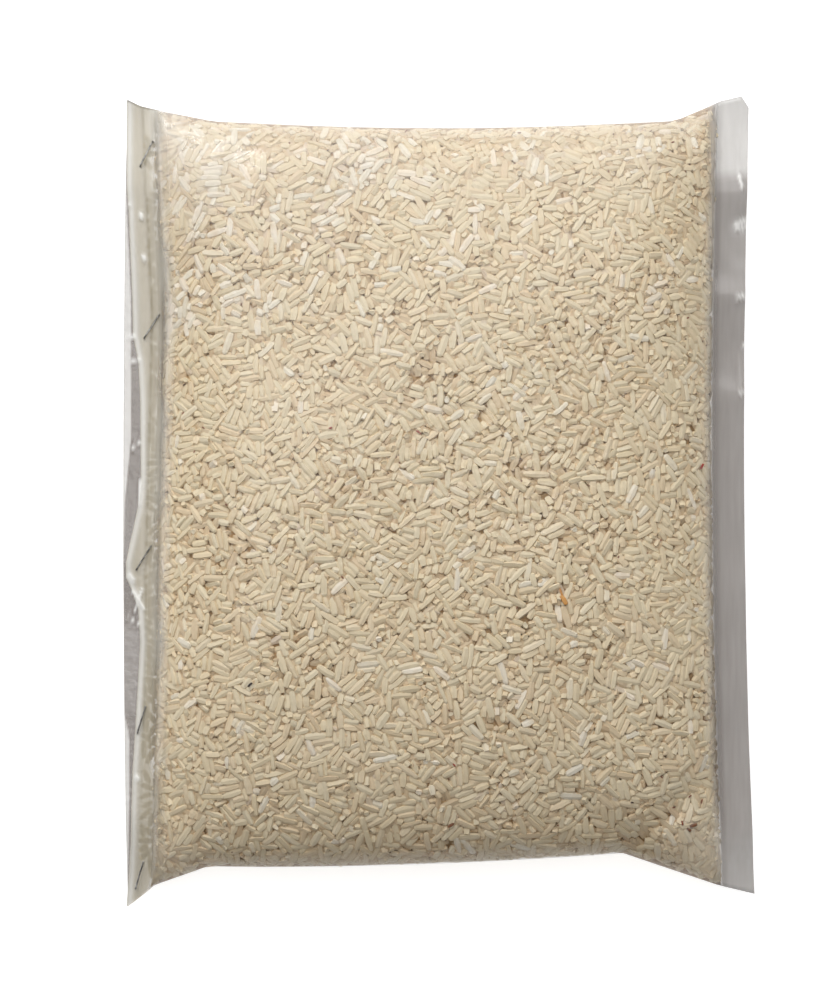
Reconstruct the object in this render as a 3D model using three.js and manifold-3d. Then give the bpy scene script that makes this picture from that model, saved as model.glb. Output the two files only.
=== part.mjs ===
import * as THREE from 'three';
import { mergeVertices } from 'three/addons/utils/BufferGeometryUtils.js';
import Module from 'manifold-3d';

// A clear polyethylene bag that holds one kilogram of long-grain rice and lies flat.
// Millimetres. X runs from the folded and stapled mouth to the heat-sealed end,
// Y runs from one unseamed side of the film tube to the other, and Z is up from the table.

// Heights and thicknesses
const CROWN_HEIGHT = 40;
const SEAM_HEIGHT = 13;
const FILM_EDGE = 1.0;
const FLAP_STEP = 0.9;

// Plan of the bag
const LEFT_EDGE = -97.8;
const LEFT_EDGE_BOW = 1.2;
const RIGHT_WAIST = 95.6;
const RIGHT_FLARE = 2.5;
const RIGHT_SKEW = -0.9;
const HALF_FLAT_WIDTH = 122;
const SEAL_WIDTH = 10;

// The long sides, from the left corner to the right one. They bend at the ears.
const TOP_SIDE = {
  leftEar: [[-97, 124.9], [-92.4, 122.7], [-69.7, 118.1]],
  rightEar: [[74.1, 118.3], [88.4, 124.6], [94.8, 126.2], [97.4, 122.4]],
  bow: -2.3,
};
const BOTTOM_SIDE = {
  leftEar: [[-97, -126.8], [-88.4, -120.0], [-71.6, -113.9]],
  rightEar: [[57.8, -109.6], [86.6, -119.6], [98.9, -122.8]],
  bow: -1.3,
};

// The folded mouth, as X at given Y: its weaving outer fold and its inner edge on the rice
const FOLD_LINE = [
  [-126, -95.4],
  [-69, -94.1],
  [-34, -93.2],
  [-19, -96.6],
  [6, -92],
  [53, -91.9],
  [81, -94.4],
  [126, -95.6],
];
const HEM_LINE = [[-126, -89.6], [-60, -87.8], [0, -86.8], [58, -85.2], [126, -88.6]];
const FOLD_WALL = 0.25;
const FLAP_FADE = 7;

// How full the bag is towards its ends and sides: exponents of flattened ovals
const END_OVAL = { power: 2.7, root: 2.2 };
const SIDE_OVAL = { power: 2.8, root: 2.5 };
const BASE_OVAL = { power: 5, root: 2.2, reach: 1.2 };

// Soft form of the loose strips and of the film over the rice
const STRIP_DROOP = 2.2;
const EAR_DROOP = 3.4;
const EAR_START = 96;
const RIPPLES = [
  { y: 96, height: 1.1, width: 5 },
  { y: 84, height: -0.8, width: 5 },
  { y: 64, height: 1.3, width: 4 },
  { y: 48, height: -0.9, width: 6 },
  { y: 33, height: 0.8, width: 5 },
  { y: -28, height: 0.7, width: 9 },
  { y: -74, height: -0.8, width: 10 },
  { y: -104, height: 0.9, width: 7 },
];
const CREASES = [
  { from: [-69.7, 118.6], to: [-84, 92], depth: 1.5, width: 4.5 },
  { from: [74.1, 118.1], to: [85, 88], depth: 1.9, width: 4.5 },
  { from: [57.8, -109.1], to: [85, -84], depth: 2.1, width: 5 },
  { from: [-71.6, -113.4], to: [-84, -86], depth: 1.7, width: 4.5 },
  { from: [68, -110], to: [40, -92], depth: 1.1, width: 4.5 },
  { from: [-60, 112], to: [-78, 70], depth: 1.0, width: 5 },
];
const DENTS = [
  { x: -46, y: 52, depth: 1.4, radius: 26 },
  { x: 38, y: 30, depth: 0.9, radius: 34 },
  { x: -20, y: -48, depth: 1.2, radius: 30 },
  { x: 52, y: -58, depth: 1.0, radius: 24 },
];

// Relief of the grains that press against the film
const GRAIN_PITCH = 3.75;
const GRAIN_RELIEF = 0.75;
const GRAIN_SHIFT = 0.75;
const GRAIN_SEED = 7919;
const SMOOTH_MARGIN = 0.1;

// How finely the underside is divided
const BASE_ROWS = 12;
const BASE_RIM_ROWS = 34;
const BASE_RIM_COLUMNS = 2;
const BASE_COLUMN_STEP = 4;
const STRIP_COLUMNS = 3;
const SECTION_SAMPLES = 96;

// Office staples that close the mouth. The lean is measured from the Y axis.
const WIRE = 0.5;
const WIRE_GAP = 0.3;
const WIRE_SIDES = 6;
const CROWN_LENGTH = 9.2;
const CLINCH_LENGTH = 2.7;
const CLINCH_RISE = 0.5;
const STAPLE_BEND = 0.45;
const STAPLE_STEPS = 22;
const STAPLES = [
  { x: -90.5, y: 107.8, lean: 27 },
  { x: -88.8, y: 54.1, lean: 33 },
  { x: -91.3, y: -17.8, lean: 32 },
  { x: -92.0, y: -68.1, lean: 17 },
  { x: -92.8, y: -116.6, lean: 16 },
];

const { clamp, lerp, smoothstep, degToRad, seededRandom } = THREE.MathUtils;

// Value at a place on a line that bends only at its named points.
function along(points, place) {
  let end = 1;
  while (end < points.length - 1 && points[end][0] < place) end += 1;
  const [[x0, y0], [x1, y1]] = [points[end - 1], points[end]];
  return lerp(y0, y1, (place - x0) / (x1 - x0));
}

// A long side of the bag: straight ears, and between them one shallow bow.
function sideLine({ leftEar, rightEar, bow }, x) {
  const [start, end] = [leftEar.at(-1)[0], rightEar[0][0]];
  const t = clamp((x - start) / (end - start), 0, 1);
  return along([...leftEar, ...rightEar], x) + 4 * bow * t * (1 - t);
}

const topSide = (x) => sideLine(TOP_SIDE, x);
const bottomSide = (x) => sideLine(BOTTOM_SIDE, x);
const leftEdge = (y) => LEFT_EDGE + LEFT_EDGE_BOW * (y / HALF_FLAT_WIDTH) ** 2;
const foldLine = (y) => along(FOLD_LINE, y);
const hemLine = (y) => along(HEM_LINE, y);

function rightEdge(y) {
  const t = y / HALF_FLAT_WIDTH;
  return RIGHT_WAIST + RIGHT_FLARE * t * t + RIGHT_SKEW * t;
}

const sealLine = (y) => rightEdge(y) - SEAL_WIDTH;
const lump = (distance, width) => Math.exp(-((distance / width) ** 2));
const oval = (t, { power, root }) => Math.max(0, 1 - Math.abs(t) ** power) ** (1 / root);

// Place on the filled part: u from -1 at the hem to 1 at the seal, v from -1 to 1 between the sides.
function placeOnBag(x, y) {
  const u = (2 * (x - hemLine(y))) / (sealLine(y) - hemLine(y)) - 1;
  const v = (2 * (y - bottomSide(x))) / (topSide(x) - bottomSide(x)) - 1;
  return { u: clamp(u, -1, 1), v: clamp(v, -1, 1) };
}

// Height of the surface halfway between the two layers of film.
function middleHeight(x, y) {
  const past = Math.max(0, x - sealLine(y)) / SEAL_WIDTH + Math.max(0, foldLine(y) - x) / SEAL_WIDTH;
  const ear = smoothstep(Math.abs(y), EAR_START, HALF_FLAT_WIDTH) * smoothstep(Math.abs(x), EAR_START / 2, EAR_START);
  const loose = smoothstep(x, sealLine(y) - SEAL_WIDTH / 2, sealLine(y) + SEAL_WIDTH);
  const ripple = RIPPLES.reduce((sum, { y: place, height, width }) => sum + height * lump(y - place, width), 0);
  return SEAM_HEIGHT - STRIP_DROOP * past - EAR_DROOP * ear + ripple * loose;
}

// Depth of the valleys that the film folds into near the ears.
function creaseDepth(x, y) {
  return CREASES.reduce((sum, { from, to, depth, width }) => {
    const line = new THREE.Line3(new THREE.Vector3(...from, 0), new THREE.Vector3(...to, 0));
    const nearest = line.closestPointToPoint(new THREE.Vector3(x, y, 0), true, new THREE.Vector3());
    return sum + depth * lump(Math.hypot(x - nearest.x, y - nearest.y), width);
  }, 0);
}

const dentDepth = (x, y) =>
  DENTS.reduce((sum, dent) => sum + dent.depth * lump(Math.hypot(x - dent.x, y - dent.y), dent.radius), 0);

function topHeight(x, y) {
  const { u, v } = placeOnBag(x, y);
  const fullness = oval(u, END_OVAL) * oval(v, SIDE_OVAL);
  const skin = middleHeight(x, y) + FILM_EDGE / 2;
  const flap = x > foldLine(y) ? FLAP_STEP * (1 - smoothstep(x, hemLine(y), hemLine(y) + FLAP_FADE)) : 0;
  const hollow = (creaseDepth(x, y) + dentDepth(x, y)) * Math.min(1, 2 * fullness);
  return skin + flap + (CROWN_HEIGHT - skin) * fullness - hollow;
}

function baseHeight(x, y) {
  const { u, v } = placeOnBag(x, y);
  const spread = Math.min(1, BASE_OVAL.reach * oval(u, BASE_OVAL) * oval(v, BASE_OVAL));
  return (middleHeight(x, y) - FILM_EDGE / 2) * (1 - spread);
}

// Knots of one column, from the bottom side to the top side, at equal steps along the film.
function columnKnots(columnX, height, rows) {
  const low = bottomSide(columnX(-HALF_FLAT_WIDTH));
  const high = topSide(columnX(HALF_FLAT_WIDTH));
  const section = [];
  for (let i = 0; i <= SECTION_SAMPLES; i += 1) {
    const y = lerp(low, high, (1 - Math.cos((Math.PI * i) / SECTION_SAMPLES)) / 2);
    section.push(new THREE.Vector2(y, height(columnX(y), y)));
  }
  const curve = new THREE.SplineCurve(section);
  curve.arcLengthDivisions = 4 * SECTION_SAMPLES;
  return curve.getSpacedPoints(rows).map(({ x: y }) => new THREE.Vector3(columnX(y), y, height(columnX(y), y)));
}

// Fractions of the way from hem to seal that lie at equal steps along the arched film.
function archSteps(count) {
  const halfSpan = (sealLine(0) - hemLine(0)) / 2;
  const arch = [];
  for (let i = 0; i <= SECTION_SAMPLES; i += 1) {
    const u = -Math.cos((Math.PI * i) / SECTION_SAMPLES);
    arch.push(new THREE.Vector2(u * halfSpan, (CROWN_HEIGHT - SEAM_HEIGHT) * oval(u, END_OVAL)));
  }
  const curve = new THREE.SplineCurve(arch);
  curve.arcLengthDivisions = 4 * SECTION_SAMPLES;
  return curve.getSpacedPoints(count).map((point) => (point.x / halfSpan + 1) / 2);
}

// Lines across the bag, each giving X at a Y: the hem with its fold, the filled part, the seal.
function columnLines() {
  const hem = [
    leftEdge,
    (y) => foldLine(y) - FOLD_WALL,
    (y) => foldLine(y) + FOLD_WALL,
    (y) => lerp(foldLine(y), hemLine(y), 0.5),
  ];
  const count = Math.round((sealLine(0) - hemLine(0) + CROWN_HEIGHT / 2) / GRAIN_PITCH);
  const filled = archSteps(count).map((t) => (y) => lerp(hemLine(y), sealLine(y), t));
  const seal = [];
  for (let i = 1; i <= STRIP_COLUMNS; i += 1) {
    seal.push((y) => sealLine(y) + (SEAL_WIDTH * i) / STRIP_COLUMNS);
  }
  return { hem, filled, seal };
}

// Presses the grains through the film: knots of the filled part move a little, out of step.
function addGrains(columns) {
  seededRandom(GRAIN_SEED);
  const either = (size) => size * (2 * seededRandom() - 1);
  for (const knot of columns.flatMap((column) => column.slice(1, -1))) {
    const { u, v } = placeOnBag(knot.x, knot.y);
    const fade = smoothstep(1 - Math.abs(u), 0, SMOOTH_MARGIN) * smoothstep(1 - Math.abs(v), 0, SMOOTH_MARGIN);
    const x = knot.x + either(GRAIN_SHIFT * fade);
    const y = knot.y + either(GRAIN_SHIFT * fade);
    knot.set(x, y, topHeight(x, y) + either(GRAIN_RELIEF * fade));
  }
}

// Closed skin that is sewn from strips between neighbouring lines of knots.
class Skin {
  constructor() {
    this.knots = [];
    this.triangles = [];
  }

  add(points) {
    return points.map((point) => this.knots.push(point) - 1);
  }

  // Fills the strip between two lines that run the same way, whatever their counts.
  // Where the counts match, the diagonals across the strip turn this way and that.
  sew(left, right, axis) {
    const matched = left.length === right.length;
    const next = (line, i, turns) => {
      if (i === line.length - 1) return Infinity;
      if (matched) return i - (turns && i % 2 === 1 ? 0.5 : 0);
      return this.knots[line[i + 1]][axis];
    };
    let [i, j] = [0, 0];
    while (i < left.length - 1 || j < right.length - 1) {
      if (next(left, i, true) < next(right, j, false)) {
        this.triangles.push(left[i], right[j], left[i + 1]);
        i += 1;
      } else {
        this.triangles.push(left[i], right[j], right[j + 1]);
        j += 1;
      }
    }
  }

  geometry() {
    const geometry = new THREE.BufferGeometry().setFromPoints(this.knots);
    geometry.setIndex(this.triangles);
    return geometry;
  }
}

function buildBag() {
  const { hem, filled, seal } = columnLines();
  const lines = [...hem, ...filled, ...seal];
  const rows = Math.round((2 * HALF_FLAT_WIDTH) / GRAIN_PITCH);
  const [start, end] = [hem.length, hem.length + filled.length - 1];

  // Rows of one column underneath: as above on the strips, few on the flat middle.
  const baseRows = (c) => {
    const inside = Math.min(c - start, end - c);
    if (inside <= 0) return rows;
    if (inside <= BASE_RIM_COLUMNS) return BASE_RIM_ROWS;
    return inside % BASE_COLUMN_STEP === 0 ? BASE_ROWS : 0;
  };

  const upper = lines.map((line) => columnKnots(line, topHeight, rows));
  addGrains(upper.slice(start + 1, end));
  const lower = lines.flatMap((line, c) => (baseRows(c) ? [columnKnots(line, baseHeight, baseRows(c))] : []));

  const skin = new Skin();
  const top = upper.map((column) => skin.add(column));
  const base = lower.map((column) => skin.add(column));
  for (let c = 1; c < top.length; c += 1) skin.sew(top[c - 1], top[c], 'y');
  for (let c = 1; c < base.length; c += 1) skin.sew(base[c], base[c - 1], 'y');
  skin.sew(base[0], top[0], 'y');
  skin.sew(top.at(-1), base.at(-1), 'y');
  skin.sew(top.map((column) => column[0]), base.map((column) => column[0]), 'x');
  skin.sew(base.map((column) => column.at(-1)), top.map((column) => column.at(-1)), 'x');
  return skin.geometry();
}

// One staple in its own frame: the crown along Y at the top, both legs down and clinched inwards.
function stapleGeometry(radius, reach) {
  const half = CROWN_LENGTH / 2 - WIRE / 2;
  const corner = (y, z, fromY, fromZ, toY, toZ) =>
    new THREE.QuadraticBezierCurve3(
      new THREE.Vector3(0, y + fromY * STAPLE_BEND, z + fromZ * STAPLE_BEND),
      new THREE.Vector3(0, y, z),
      new THREE.Vector3(0, y + toY * STAPLE_BEND, z + toZ * STAPLE_BEND),
    );
  const path = new THREE.CurvePath();
  const bends = [
    corner(-half, -reach, 1, 0, 0, 1),
    corner(-half, 0, 0, -1, 1, 0),
    corner(half, 0, -1, 0, 0, -1),
    corner(half, -reach, 0, 1, -1, 0),
  ];
  const tip = (side) => new THREE.Vector3(0, side * (half - CLINCH_LENGTH), CLINCH_RISE - reach);
  path.add(new THREE.LineCurve3(tip(-1), bends[0].v0));
  bends.forEach((bend, i) => {
    path.add(bend);
    path.add(new THREE.LineCurve3(bend.v2, i < bends.length - 1 ? bends[i + 1].v0 : tip(1)));
  });
  const ring = [];
  for (let i = 0; i < WIRE_SIDES; i += 1) {
    const turn = (2 * Math.PI * i) / WIRE_SIDES;
    ring.push(new THREE.Vector2(radius * Math.cos(turn), radius * Math.sin(turn)));
  }
  return new THREE.ExtrudeGeometry(new THREE.Shape(ring), { steps: STAPLE_STEPS, extrudePath: path });
}

// Where a staple's two legs go through the hem, and how it lies on it.
function stapleSeat({ x, y, lean }) {
  const turn = degToRad(lean);
  const half = CROWN_LENGTH / 2;
  const ends = [-half, half].map((t) => topHeight(x + t * Math.sin(turn), y + t * Math.cos(turn)));
  const height = Math.max(...ends, topHeight(x, y)) + WIRE_GAP + WIRE / 2;
  return new THREE.Matrix4().makeRotationZ(-turn).setPosition(x, y, height);
}

const STAPLE_REACH = FILM_EDGE + FLAP_STEP + 2 * WIRE_GAP + WIRE + 0.5;

const wasm = await Module();
wasm.setup();

function toSolid(geometry) {
  const bare = geometry.clone();
  bare.deleteAttribute('normal');
  bare.deleteAttribute('uv');
  const merged = mergeVertices(bare);
  return new wasm.Manifold(
    new wasm.Mesh({ numProp: 3, vertProperties: merged.attributes.position.array, triVerts: merged.index.array }),
  );
}

function fromSolid(solid) {
  const { vertProperties, triVerts } = solid.getMesh();
  const geometry = new THREE.BufferGeometry();
  geometry.setAttribute('position', new THREE.BufferAttribute(vertProperties, 3));
  geometry.setIndex(new THREE.BufferAttribute(triVerts, 1));
  geometry.computeVertexNormals();
  return geometry;
}

// The hem is pierced round each staple, with a small gap to its wire.
function pierce(bag) {
  let solid = toSolid(bag);
  for (const staple of STAPLES) {
    const room = stapleGeometry(WIRE / 2 + WIRE_GAP, STAPLE_REACH).applyMatrix4(stapleSeat(staple));
    solid = solid.subtract(toSolid(room));
  }
  return fromSolid(solid);
}

const riceInFilm = new THREE.MeshStandardMaterial({ color: 0xcbbb9c, roughness: 0.35, metalness: 0 });
const steelWire = new THREE.MeshStandardMaterial({ color: 0x9a9b9d, roughness: 0.3, metalness: 1 });

const bagOfRice = new THREE.Group();

const bag = new THREE.Mesh(pierce(buildBag()), riceInFilm);
bag.name = 'bag';
bagOfRice.add(bag);

STAPLES.forEach((place, i) => {
  const staple = new THREE.Mesh(stapleGeometry(WIRE / 2, STAPLE_REACH), steelWire.clone());
  staple.name = `staple_${i + 1}`;
  staple.applyMatrix4(stapleSeat(place));
  bagOfRice.add(staple);
});

// The origin is under the middle of the bag.
const middle = new THREE.Box3().setFromObject(bagOfRice, true).getCenter(new THREE.Vector3());
bagOfRice.position.set(-middle.x, -middle.y, 0);

export default bagOfRice;
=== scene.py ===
import math

import bpy
import numpy as np
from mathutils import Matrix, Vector
from mathutils.bvhtree import BVHTree


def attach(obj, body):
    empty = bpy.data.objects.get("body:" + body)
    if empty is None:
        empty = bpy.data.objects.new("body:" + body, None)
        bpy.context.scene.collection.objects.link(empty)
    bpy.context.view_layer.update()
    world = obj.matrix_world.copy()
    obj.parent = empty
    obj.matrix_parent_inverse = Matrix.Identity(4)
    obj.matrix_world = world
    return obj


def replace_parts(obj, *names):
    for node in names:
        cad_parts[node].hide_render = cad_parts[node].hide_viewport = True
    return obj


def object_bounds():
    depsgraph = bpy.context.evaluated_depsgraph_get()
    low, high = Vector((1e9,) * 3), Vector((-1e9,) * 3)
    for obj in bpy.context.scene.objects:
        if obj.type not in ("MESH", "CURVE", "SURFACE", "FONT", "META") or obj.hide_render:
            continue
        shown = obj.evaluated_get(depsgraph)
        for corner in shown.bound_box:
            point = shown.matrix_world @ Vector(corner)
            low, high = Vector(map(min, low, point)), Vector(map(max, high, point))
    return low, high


# A clear polyethylene bag of long-grain rice that lies flat, seen from straight above.
# Blender works in metres. The bag's own sizes below are in millimetres, and a mesh is made metres
# when it is made. X runs from the folded, stapled mouth to the heat-sealed end, and Z is up.
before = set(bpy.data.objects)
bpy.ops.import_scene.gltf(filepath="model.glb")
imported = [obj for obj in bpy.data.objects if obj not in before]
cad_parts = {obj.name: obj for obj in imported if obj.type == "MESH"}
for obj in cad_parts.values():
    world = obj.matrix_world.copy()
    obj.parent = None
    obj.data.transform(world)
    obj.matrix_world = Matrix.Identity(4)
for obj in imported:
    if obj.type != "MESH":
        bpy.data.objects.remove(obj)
cad_low, cad_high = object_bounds()

MM = 0.001
BODY = "root"

# The photograph's frame
PHOTO_SIZE = np.array([828.0, 994.0])
PIXELS_PER_MM = 3.2
CAMERA_ZOOM = 1.0047
BAG_MIDDLE_PIXEL = np.array([439.4, 501.4])
CAMERA_HEIGHT = 1300
SENSOR = 36

# Plan of the bag, in the frame of its drawing
LEFT_EDGE, LEFT_EDGE_BOW = -97.8, 1.2
RIGHT_WAIST, RIGHT_FLARE, RIGHT_SKEW = 95.6, 2.5, -0.9
HALF_FLAT_WIDTH = 122
SEAL_WIDTH = 10
TOP_SIDE = {
    "left_ear": [(-97, 124.9), (-92.4, 122.7), (-69.7, 118.1)],
    "right_ear": [(74.1, 118.3), (88.4, 124.6), (94.8, 126.2), (97.4, 122.4)],
    "bow": -2.3,
}
BOTTOM_SIDE = {
    "left_ear": [(-97, -126.8), (-88.4, -120.0), (-71.6, -113.9)],
    "right_ear": [(57.8, -109.6), (86.6, -119.6), (98.9, -122.8)],
    "bow": -1.3,
}
FOLD_LINE = [
    (-126, -95.4), (-69, -94.1), (-34, -93.2), (-19, -96.6),
    (6, -92), (53, -91.9), (81, -94.4), (126, -95.6),
]
HEM_LINE = [(-126, -89.6), (-60, -87.8), (0, -86.8), (58, -85.2), (126, -88.6)]

# Heights, and how full the bag is towards its ends and sides
CROWN_HEIGHT = 40
SEAM_HEIGHT = 13
END_OVAL = (2.7, 2.2)
SIDE_OVAL = (2.8, 2.5)
BASE_OVAL = (5, 2.2)
BASE_REACH = 1.2
STRIP_DROOP = 2.2
EAR_DROOP, EAR_START = 3.4, 96
RIPPLES = [
    (96, 1.1, 5), (84, -0.8, 5), (64, 1.3, 4), (48, -0.9, 6),
    (33, 0.8, 5), (-28, 0.7, 9), (-74, -0.8, 10), (-104, 0.9, 7),
]
CREASES = [
    ((-69.7, 118.6), (-84, 92), 1.5, 4.5),
    ((74.1, 118.1), (85, 88), 1.9, 4.5),
    ((57.8, -109.1), (85, -84), 2.1, 5),
    ((-71.6, -113.4), (-84, -86), 1.7, 4.5),
    ((68, -110), (40, -92), 1.1, 4.5),
    ((-60, 112), (-78, 70), 1.0, 5),
]
DENTS = [(-46, 52, 1.4, 26), (38, 30, 0.9, 34), (-20, -48, 1.2, 30), (52, -58, 1.0, 24)]

# Folded hem: the edge of its upper flap, and the edge of the layer folded in under it
FLAP_EDGE = [
    (-126, -96.9), (-106, -95.5), (-84, -94.9), (-69, -93.9), (-44, -92.5), (-34, -93.1),
    (-28, -95.0), (-24, -96.9), (-19.4, -97.0), (-1.5, -93.1), (6, -92.3), (31, -92.5),
    (43, -93.1), (51.5, -94.8), (62.5, -95.0), (92, -96.2), (97, -96.7), (126, -96.9),
]
INNER_FOLD = [
    (-125, -96.9), (-109, -96.2), (-94, -95.9), (-73, -95.9), (-66, -97.7), (-37, -97.7),
    (-19, -97.7), (0, -97.3), (19, -95.4), (62, -95.4), (92, -96.7), (126, -97.8),
]
FLAP_LIFT = 0.55
FLAP_OVERLAP = 4.4
FLAP_NOSE = 0.5
HEM_GRAINS_WIDTH = 4.0
HEM_BULGE = 0.7

# Sharp wrinkles in the hem and the seal, raised a little and painted lighter and milkier as glints: from, to,
# width
WRINKLES = [
    ((-96.4, 92.2), (-95.9, 92.0), 0.5), ((-92.2, 89), (-92.0, 88), 0.7), ((-91.4, 76), (-91.2, 75), 0.7),
    ((-96.4, 51.6), (-94.6, 51.0), 0.6), ((-94.9, 43.5), (-92.9, 43.9), 0.55),
    ((-94.8, 16.6), (-92.7, 18.0), 0.45), ((-92.6, 6), (-92.7, -1.5), 0.45),
    ((-95.6, -23.6), (-94.6, -24.6), 0.75), ((-95, -28), (-91.4, -33.4), 0.4),
    ((-91.8, -27.6), (-94.4, -35), 0.4), ((-96.2, -36.4), (-93.0, -38.2), 0.4),
    ((-93.6, -86), (-93.2, -86.4), 0.6),
    ((94.0, 101), (94.9, 97.5), 0.5), ((93.2, 86.4), (96.2, 87.4), 0.9), ((93.2, 84.6), (95.6, 85.0), 0.5),
    ((93.2, 63.2), (95.8, 63.8), 0.8), ((95.4, 48.2), (96.0, 48.0), 0.6), ((94.4, 33.8), (94.9, 33.4), 0.6),
]
GLINT_RISE = 0.3

# Painted glare: places where many grains are painted white and the film over them is milkier: x, y, radius,
# share of the grains
PAINTED_GLARE_SPOTS = [
    (-70, 109, 13, 0.6), (-24, 104, 12, 0.6), (-76, 80, 14, 0.45), (-82, 57, 7, 0.7), (30, 106, 7, 0.4),
    (62, 110, 9, 0.3), (-42, 88, 14, 0.35), (4, 88, 14, 0.25), (70, 66, 10, 0.2), (-60, 60, 12, 0.25),
]

# Film
FILM_LENGTH = 250
FILM_PITCH = 1.5
FILM_BASE_PITCH = 3.0
STRIP_COLUMNS = 32
SEAL_GAP = 0.3
# Single film never hides more than this of what lies behind it, so the grains stay sharp.
CLEAR_HAZE = 0.24
SECTION_SAMPLES = 260

# Milled long-grain rice: length, width and thickness of a whole grain
GRAIN = np.array([6.5, 2.0, 1.6])
FILM_CLEARANCE = 0.12
BROKEN_SHARE = 0.58
CHIP_LENGTH = 3.2
COVER = 0.95
LAYER_DEPTHS = (0.0, 0.35)
DEPTH_SPREAD = 0.28
BED_PITCH = 2.0
BED_ROWS = 122
WHOLE_AREA, BROKEN_AREA = 11.6, 5.9
SNUG = np.array([1.05, 1.2, 1.0])
CORE_DEPTH = 1.9
LEAST_ROOM, SECOND_LAYER_ROOM = 1.15, 3
HEM_LENGTH, HEM_COVER = 228, 0.8
FINE_BRAN, FINE_BRAN_ROOM = 260, 12
# The points of a grain that are held inside the film, how often, and how far one may still stand out
GRAIN_TIPS = [(1, 0, 0), (-1, 0, 0)] + [
    (along, aside, above) for along in (0.7, -0.7) for aside in (0.85, -0.85) for above in (0.7, -0.7)
]
PUSHES = 2
MOST_OUT = 0.1

# Bits in the rice: x, y, length, width, turn in degrees, kind from dark 0 to husk 1, depth under the film
BITS = [
    (-5.9, 20.9, 1.7, 0.55, -35, 0.6, 0.25), (-32.8, 22.2, 1.1, 0.5, 20, 0.6, 0.25),
    (81.6, 10.6, 1.9, 0.8, 60, 0.58, 0.3), (5.0, -80.9, 1.2, 0.5, -50, 0.6, 0.25),
    (-57.5, -56.3, 1.7, 0.8, 40, 0.0, 0.3), (38.4, -30.3, 3.4, 1.6, -60, 1.0, 0.25),
    (37.6, -28.0, 2.6, 0.7, -75, 0.95, 0.2), (-88.4, 43.1, 3.4, 1.3, 80, 1.0, 0.5),
    (79.0, -100.3, 2.4, 1.2, 15, 0.3, 0.3), (77.6, -101.6, 1.6, 0.9, -40, 0.28, 0.3),
    (4.0, -99.7, 2.2, 1.0, 30, 0.3, 0.3), (11.4, -15.2, 0.9, 0.35, 85, 0.05, 0.2),
    (77.9, -91.3, 1.2, 0.5, 40, 0.36, 0.2), (81.6, -92.9, 1.4, 0.6, 70, 0.34, 0.2),
    (72.9, -94.7, 1.0, 0.4, 10, 0.36, 0.2), (59.8, -92.9, 0.9, 0.5, 0, 0.05, 0.2),
    (75.5, -99.5, 1.5, 0.7, 100, 0.4, 0.2),
]
TABLE_GLOW = 0.8

rng = np.random.default_rng(1962)


def linear(hex_colour):
    """An sRGB hex colour as linear RGBA."""
    parts = [int(hex_colour[i : i + 2], 16) / 255 for i in (1, 3, 5)]
    return (*[p / 12.92 if p <= 0.04045 else ((p + 0.055) / 1.055) ** 2.4 for p in parts], 1.0)


def add_node(tree, kind, inputs=None, **settings):
    """A node with its settings and, by socket name or number, its values and links."""
    made = tree.nodes.new(kind)
    for name, value in settings.items():
        setattr(made, name, value)
    for name, value in (inputs or {}).items():
        if isinstance(value, bpy.types.NodeSocket):
            tree.links.new(value, made.inputs[name])
        else:
            made.inputs[name].default_value = value
    return made


def side_line(side, x):
    """Y of one long side of the bag at X: straight ears, and one shallow bow between them."""
    points = np.array(side["left_ear"] + side["right_ear"])
    start, end = side["left_ear"][-1][0], side["right_ear"][0][0]
    t = np.clip((x - start) / (end - start), 0, 1)
    return np.interp(x, points[:, 0], points[:, 1]) + 4 * side["bow"] * t * (1 - t)


def line_at(points, y):
    """X of a line that bends only at its named points, at Y."""
    return np.interp(y, *np.array(points).T)


def left_edge(y):
    return LEFT_EDGE + LEFT_EDGE_BOW * (y / HALF_FLAT_WIDTH) ** 2


def right_edge(y):
    t = y / HALF_FLAT_WIDTH
    return RIGHT_WAIST + RIGHT_FLARE * t * t + RIGHT_SKEW * t


def seal_line(y):
    return right_edge(y) - SEAL_WIDTH


def hem_line(y):
    return line_at(HEM_LINE, y)


def fold_line(y):
    return line_at(FOLD_LINE, y)


def lump(distance, width):
    return np.exp(-((distance / width) ** 2))


def ease(value, low, high):
    """0 below low, 1 above high, and smooth between."""
    t = np.clip((value - low) / (high - low), 0, 1)
    return t * t * (3 - 2 * t)


def oval(t, shape):
    power, root = shape
    return np.maximum(0, 1 - np.abs(t) ** power) ** (1 / root)


def place_on_bag(x, y):
    """u from -1 at the hem to 1 at the seal, and v from -1 to 1 between the long sides."""
    hem, seal = hem_line(y), seal_line(y)
    low, high = side_line(BOTTOM_SIDE, x), side_line(TOP_SIDE, x)
    u = 2 * (x - hem) / (seal - hem) - 1
    v = 2 * (y - low) / (high - low) - 1
    return np.clip(u, -1, 1), np.clip(v, -1, 1)


def middle_height(x, y):
    """Height of the surface halfway between the two layers of film."""
    past = (np.maximum(0, x - seal_line(y)) + np.maximum(0, fold_line(y) - x)) / SEAL_WIDTH
    ear = ease(np.abs(y), EAR_START, HALF_FLAT_WIDTH) * ease(np.abs(x), EAR_START / 2, EAR_START)
    loose = ease(x, seal_line(y) - SEAL_WIDTH / 2, seal_line(y) + SEAL_WIDTH)
    ripple = sum(height * lump(y - place, width) for place, height, width in RIPPLES)
    return SEAM_HEIGHT - STRIP_DROOP * past - EAR_DROOP * ear + ripple * loose


def off_line(x, y, start, end):
    """Distance of points from the straight line between two points."""
    dx, dy = end[0] - start[0], end[1] - start[1]
    t = np.clip(((x - start[0]) * dx + (y - start[1]) * dy) / (dx ** 2 + dy ** 2), 0, 1)
    return np.hypot(x - start[0] - t * dx, y - start[1] - t * dy)


def hollow_depth(x, y):
    """Depth of the valleys near the ears and of the soft dents over the rice."""
    depth = 0
    for start, end, deep, width in CREASES:
        depth = depth + deep * lump(off_line(x, y, start, end), width)
    for x0, y0, deep, radius in DENTS:
        depth = depth + deep * lump(np.hypot(x - x0, y - y0), radius)
    return depth


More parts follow.
